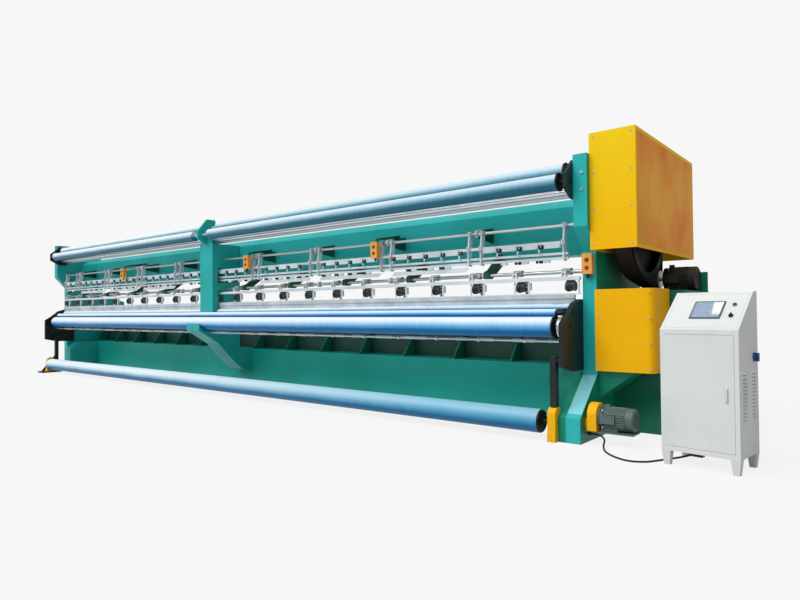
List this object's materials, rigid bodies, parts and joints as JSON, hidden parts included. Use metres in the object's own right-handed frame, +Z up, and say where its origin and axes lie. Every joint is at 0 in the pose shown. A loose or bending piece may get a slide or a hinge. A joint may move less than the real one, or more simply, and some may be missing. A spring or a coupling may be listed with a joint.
{
  "type": "warp knitting machine",
  "caption": "Long raschel warp knitting machine with take-up rollers, swinging guide bars, lifting needle bar, covered belt drive, floor batch roller and a separate control cabinet",
  "frame": {"origin": "on the floor under the base beam, in line with the middle frame", "axes": "+X runs along the machine to the drive end, +Y runs to the back, +Z is up"},
  "size_m": [12.6095, 2.4637, 2.72],
  "materials": {
    "frame_paint": "semi-gloss teal enamel",
    "panel_paint": "dark enamel",
    "white_paint": "pale grey enamel",
    "yellow_paint": "glossy yellow enamel",
    "roller_aluminium": "turned and polished",
    "bright_steel": "ground",
    "dark_steel": "blackened",
    "motor_paint": "grey hammered paint",
    "belt_rubber": "matt",
    "box_plastic": "moulded",
    "button_plastic": "moulded",
    "cabinet_paint": "fine textured powder coat",
    "chrome_lock": "polished",
    "screen_glass": "flat display",
    "switch_plastic": "moulded",
    "cable_rubber": "matt jacket"
  },
  "bodies": {
    "machine": {"near_end_frame": "frame_paint", "far_end_frame": "frame_paint", "middle_frame": "frame_paint", "base_beam": "frame_paint", "back_beam": "frame_paint", "drive_base": "frame_paint", "drive_housing": "frame_paint", "take_up_plates": "panel_paint", "batch_guides": "panel_paint", "roller_stands": "white_paint", "comb_bar": "white_paint", "beam_brackets": "white_paint", "top_cover": "yellow_paint", "cover_side_panel": "yellow_paint", "lower_cover": "yellow_paint", "batch_housings": "yellow_paint", "belt_guard": "yellow_paint", "guide_tubes": "roller_aluminium", "collar_rod": "bright_steel", "frame_bolts": "bright_steel", "floor_pads": "dark_steel", "main_motor": "motor_paint", "winding_motor": "motor_paint", "drive_belt": "belt_rubber", "button_boxes": "box_plastic", "cabinet_body": "cabinet_paint", "control_screen": "screen_glass", "cable_socket": "switch_plastic", "cable_glands": "switch_plastic", "motor_cable": "cable_rubber"},
    "front_roller": {"top_roller_front": "roller_aluminium"},
    "back_roller": {"top_roller_back": "roller_aluminium"},
    "draw": {"draw_roller": "roller_aluminium", "draw_gear": "bright_steel"},
    "press": {"press_roller": "bright_steel"},
    "guide": {"guide_roller": "roller_aluminium"},
    "batch": {"batch_roller": "roller_aluminium"},
    "wheel": {"drive_wheel": "dark_steel"},
    "pulley": {"motor_pulley": "bright_steel"},
    "swing": {"swing_shaft": "bright_steel", "swing_arms": "roller_aluminium", "guide_segments": "roller_aluminium"},
    "front_bar": {"guide_bar_front": "roller_aluminium"},
    "rear_bar": {"guide_bar_rear": "roller_aluminium"},
    "needles": {"needle_bar": "roller_aluminium", "needle_clamps": "dark_steel"},
    "links": {"link_shaft": "bright_steel"},
    "door": {"cabinet_door": "cabinet_paint"},
    "lock": {"door_lock": "chrome_lock"},
    "cabinet_start": {"cabinet_button": "button_plastic"},
    "knob": {"selector_knob": "switch_plastic"},
    "isolator": {"isolator_switch": "switch_plastic"},
    "start_button_1": {"start_button_1": "button_plastic"},
    "stop_button_1": {"stop_button_1": "button_plastic"},
    "start_button_2": {"start_button_2": "button_plastic"},
    "stop_button_2": {"stop_button_2": "button_plastic"},
    "start_button_3": {"start_button_3": "button_plastic"},
    "stop_button_3": {"stop_button_3": "button_plastic"},
    "start_button_4": {"start_button_4": "button_plastic"},
    "stop_button_4": {"stop_button_4": "button_plastic"}
  },
  "joints": [
    {"name": "front_roller_turn", "type": "hinge", "parent": "machine", "child": "front_roller", "pos_m": [0, -1.1, 2.299], "axis": [1, 0, 0], "continuous": true},
    {"name": "back_roller_turn", "type": "hinge", "parent": "machine", "child": "back_roller", "pos_m": [0, -0.945, 2.419], "axis": [1, 0, 0], "continuous": true},
    {"name": "draw_turn", "type": "hinge", "parent": "machine", "child": "draw", "pos_m": [0, -1.14, 0.994], "axis": [1, 0, 0], "continuous": true},
    {"name": "press_turn", "type": "hinge", "parent": "machine", "child": "press", "pos_m": [0, -1.092, 1.11975], "axis": [1, 0, 0], "continuous": true},
    {"name": "guide_turn", "type": "hinge", "parent": "machine", "child": "guide", "pos_m": [0, -0.95, 1.165], "axis": [1, 0, 0], "continuous": true},
    {"name": "batch_turn", "type": "hinge", "parent": "machine", "child": "batch", "pos_m": [0, -1.25, 0.163], "axis": [1, 0, 0], "continuous": true},
    {"name": "wheel_turn", "type": "hinge", "parent": "machine", "child": "wheel", "pos_m": [0, -0.23, 1.93], "axis": [1, 0, 0], "continuous": true},
    {"name": "pulley_turn", "type": "hinge", "parent": "machine", "child": "pulley", "pos_m": [0, 0.15, 1.444], "axis": [1, 0, 0], "continuous": true},
    {"name": "swing_turn", "type": "hinge", "parent": "machine", "child": "swing", "pos_m": [0, -0.87, 1.938], "axis": [1, 0, 0], "range_deg": [-3, 3]},
    {"name": "front_bar_shog", "type": "slide", "parent": "swing", "child": "front_bar", "axis": [1, 0, 0], "range_m": [-0.01, 0.01]},
    {"name": "rear_bar_shog", "type": "slide", "parent": "swing", "child": "rear_bar", "axis": [1, 0, 0], "range_m": [-0.01, 0.01]},
    {"name": "needle_lift", "type": "slide", "parent": "machine", "child": "needles", "axis": [0, 0, 1], "range_m": [0, 0.016]},
    {"name": "link_turn", "type": "hinge", "parent": "machine", "child": "links", "pos_m": [0, -0.82, 1.505], "axis": [-1, 0, 0], "range_deg": [0, 13.14]},
    {"name": "door_turn", "type": "hinge", "parent": "machine", "child": "door", "pos_m": [6.63005, -1.50885, 0.55], "axis": [0, 0, -1], "range_deg": [0, 110]},
    {"name": "lock_turn", "type": "hinge", "parent": "door", "child": "lock", "pos_m": [7.0523, -1.56294, 0.518], "axis": [-0.1271, -0.9919, 0], "range_deg": [0, 90]},
    {"name": "cabinet_start_press", "type": "slide", "parent": "machine", "child": "cabinet_start", "axis": [0.0817, 0.638, -0.7657], "range_m": [0, 0.004], "stiffness_N_per_m": 400},
    {"name": "knob_turn", "type": "hinge", "parent": "machine", "child": "knob", "pos_m": [7.0669, -1.44902, 1.09548], "axis": [-0.0817, -0.638, 0.7657], "range_deg": [-45, 45]},
    {"name": "isolator_turn", "type": "hinge", "parent": "machine", "child": "isolator", "pos_m": [7.17428, -1.26402, 0.8], "axis": [0.9919, -0.1271, 0], "range_deg": [0, 90]},
    {"name": "start_button_1_press", "type": "slide", "parent": "machine", "child": "start_button_1", "axis": [0, 1, 0], "range_m": [0, 0.005], "stiffness_N_per_m": 400},
    {"name": "stop_button_1_press", "type": "slide", "parent": "machine", "child": "stop_button_1", "axis": [0, 1, 0], "range_m": [0, 0.005], "stiffness_N_per_m": 400},
    {"name": "start_button_2_press", "type": "slide", "parent": "machine", "child": "start_button_2", "axis": [0, 1, 0], "range_m": [0, 0.005], "stiffness_N_per_m": 400},
    {"name": "stop_button_2_press", "type": "slide", "parent": "machine", "child": "stop_button_2", "axis": [0, 1, 0], "range_m": [0, 0.005], "stiffness_N_per_m": 400},
    {"name": "start_button_3_press", "type": "slide", "parent": "machine", "child": "start_button_3", "axis": [0, 1, 0], "range_m": [0, 0.005], "stiffness_N_per_m": 400},
    {"name": "stop_button_3_press", "type": "slide", "parent": "machine", "child": "stop_button_3", "axis": [0, 1, 0], "range_m": [0, 0.005], "stiffness_N_per_m": 400},
    {"name": "start_button_4_press", "type": "slide", "parent": "machine", "child": "start_button_4", "axis": [0, 1, 0], "range_m": [0, 0.005], "stiffness_N_per_m": 400},
    {"name": "stop_button_4_press", "type": "slide", "parent": "machine", "child": "stop_button_4", "axis": [0, 1, 0], "range_m": [0, 0.005], "stiffness_N_per_m": 400}
  ],
  "couplings": [
    {"joint": "press_turn", "follows": "draw_turn", "ratio": -2.5263},
    {"joint": "pulley_turn", "follows": "wheel_turn", "ratio": 6.0976},
    {"joint": "link_turn", "follows": "needle_lift", "rad_per_m": 14.317}
  ]
}
